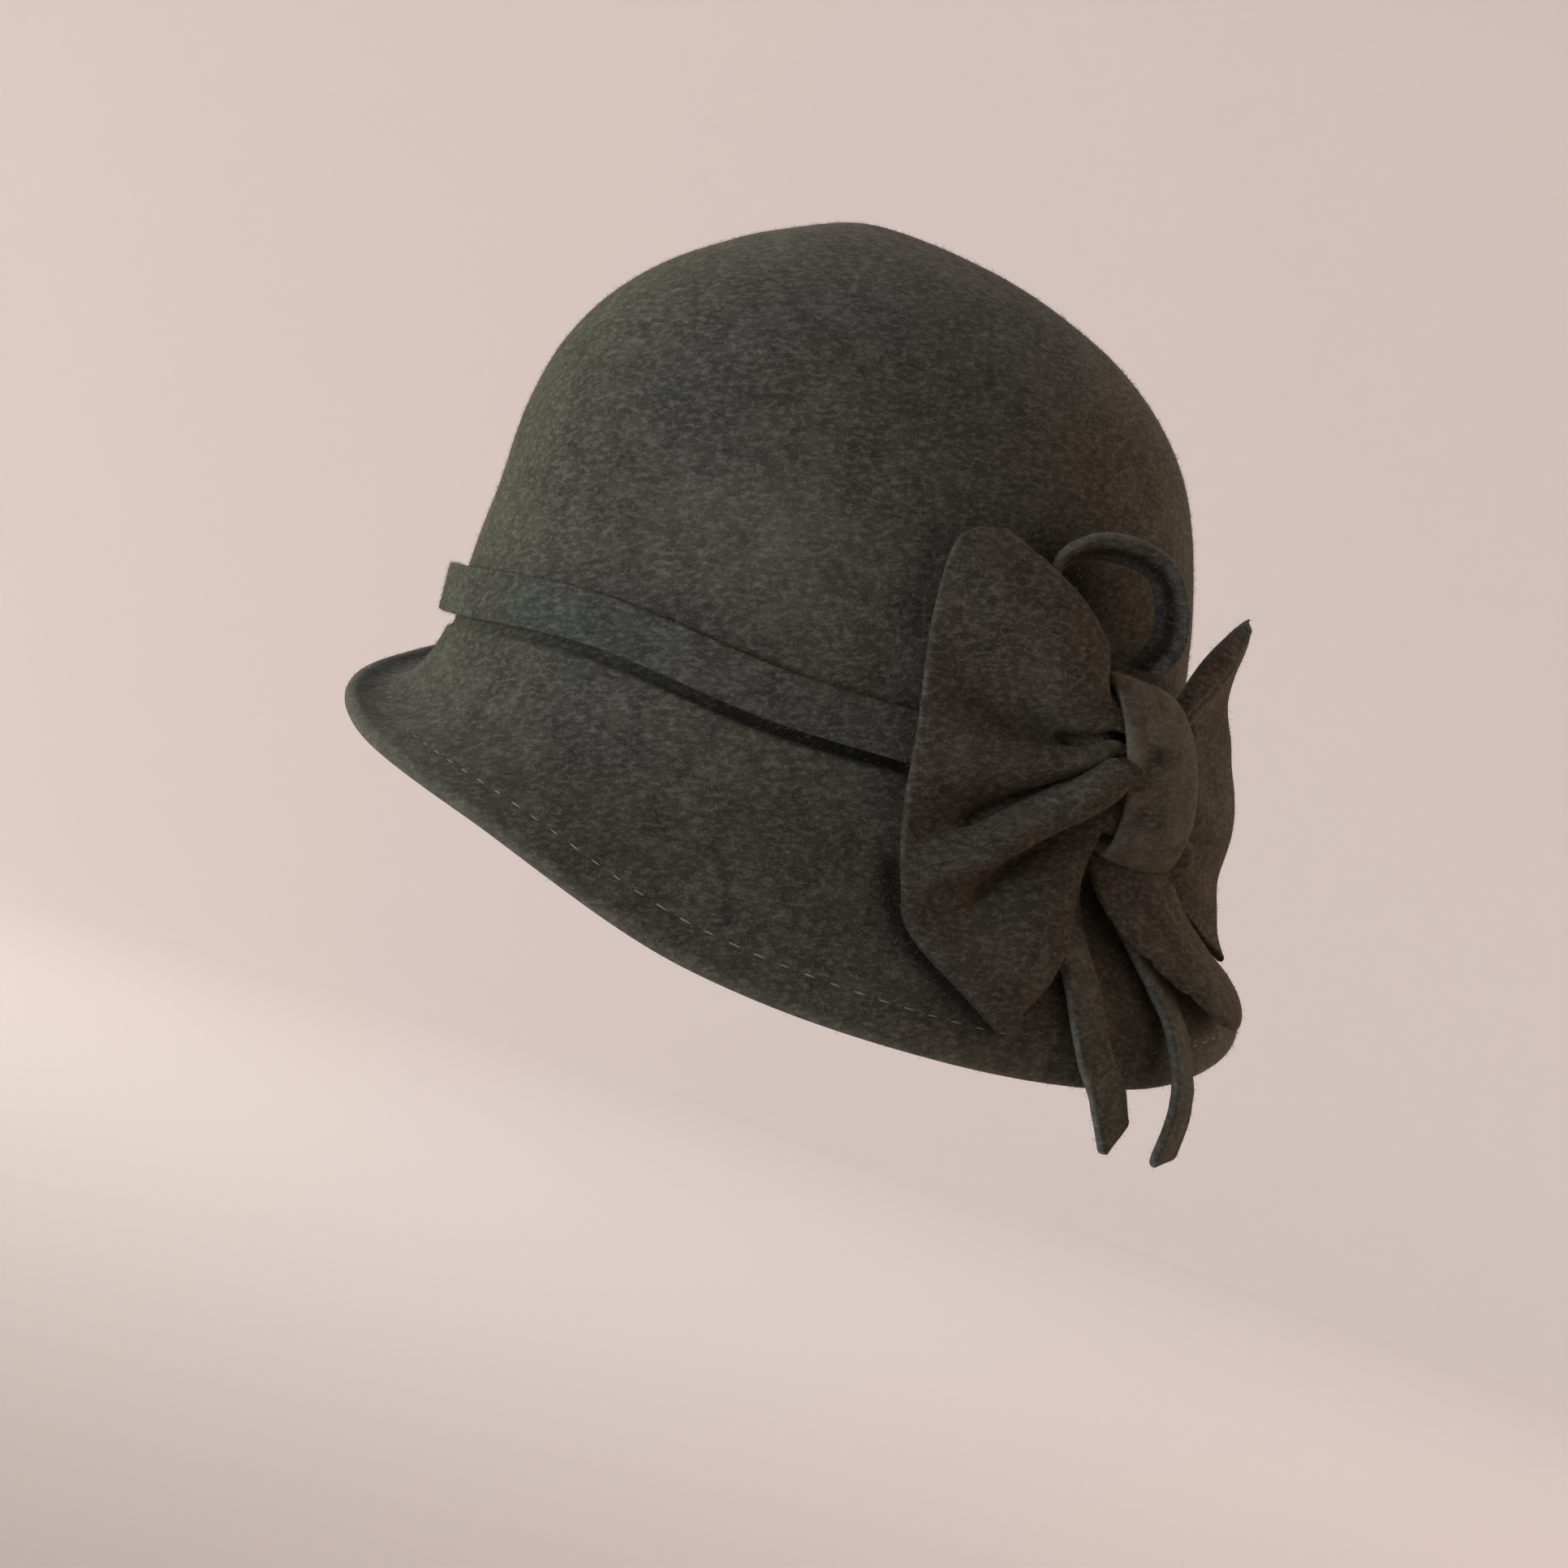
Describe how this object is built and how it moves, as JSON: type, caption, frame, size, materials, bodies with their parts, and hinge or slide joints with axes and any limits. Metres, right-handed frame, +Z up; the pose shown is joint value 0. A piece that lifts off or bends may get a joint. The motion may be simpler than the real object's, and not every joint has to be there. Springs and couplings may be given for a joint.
{
  "type": "felt cloche hat with a felt bow",
  "caption": "Soft wool-felt cloche with a deep flared brim, narrow felt band and a large felt bow with hanging strip tails on one side.",
  "frame": {"origin": "middle of the head opening at the height of the hat band, where the hat sits on a head", "axes": "+Z up through the tip of the crown, -Y towards the front of the hat, +X towards the wearer's left, where the bow is"},
  "size_m": [0.2274, 0.2566, 0.2072],
  "materials": {
    "hat_felt": "dark olive wool felt with a short soft nap and mixed light and dark fibres",
    "strip_felt": "the same olive wool felt cut in a narrow strip, with plain cut edges",
    "bow_felt": "the same olive wool felt cut in a sheet and folded, with plain cut edges",
    "hem_thread": "grey-green sewing thread in a plain running stitch"
  },
  "bodies": {
    "root": {"felt_body": "hat_felt", "hat_band": "strip_felt", "bow_leaf_front": "bow_felt", "bow_leaf_rear": "bow_felt", "bow_leaf_under": "bow_felt", "bow_knot": "bow_felt", "bow_loop": "strip_felt", "bow_tail_front": "strip_felt", "bow_tail_rear": "strip_felt"}
  },
  "joints": []
}
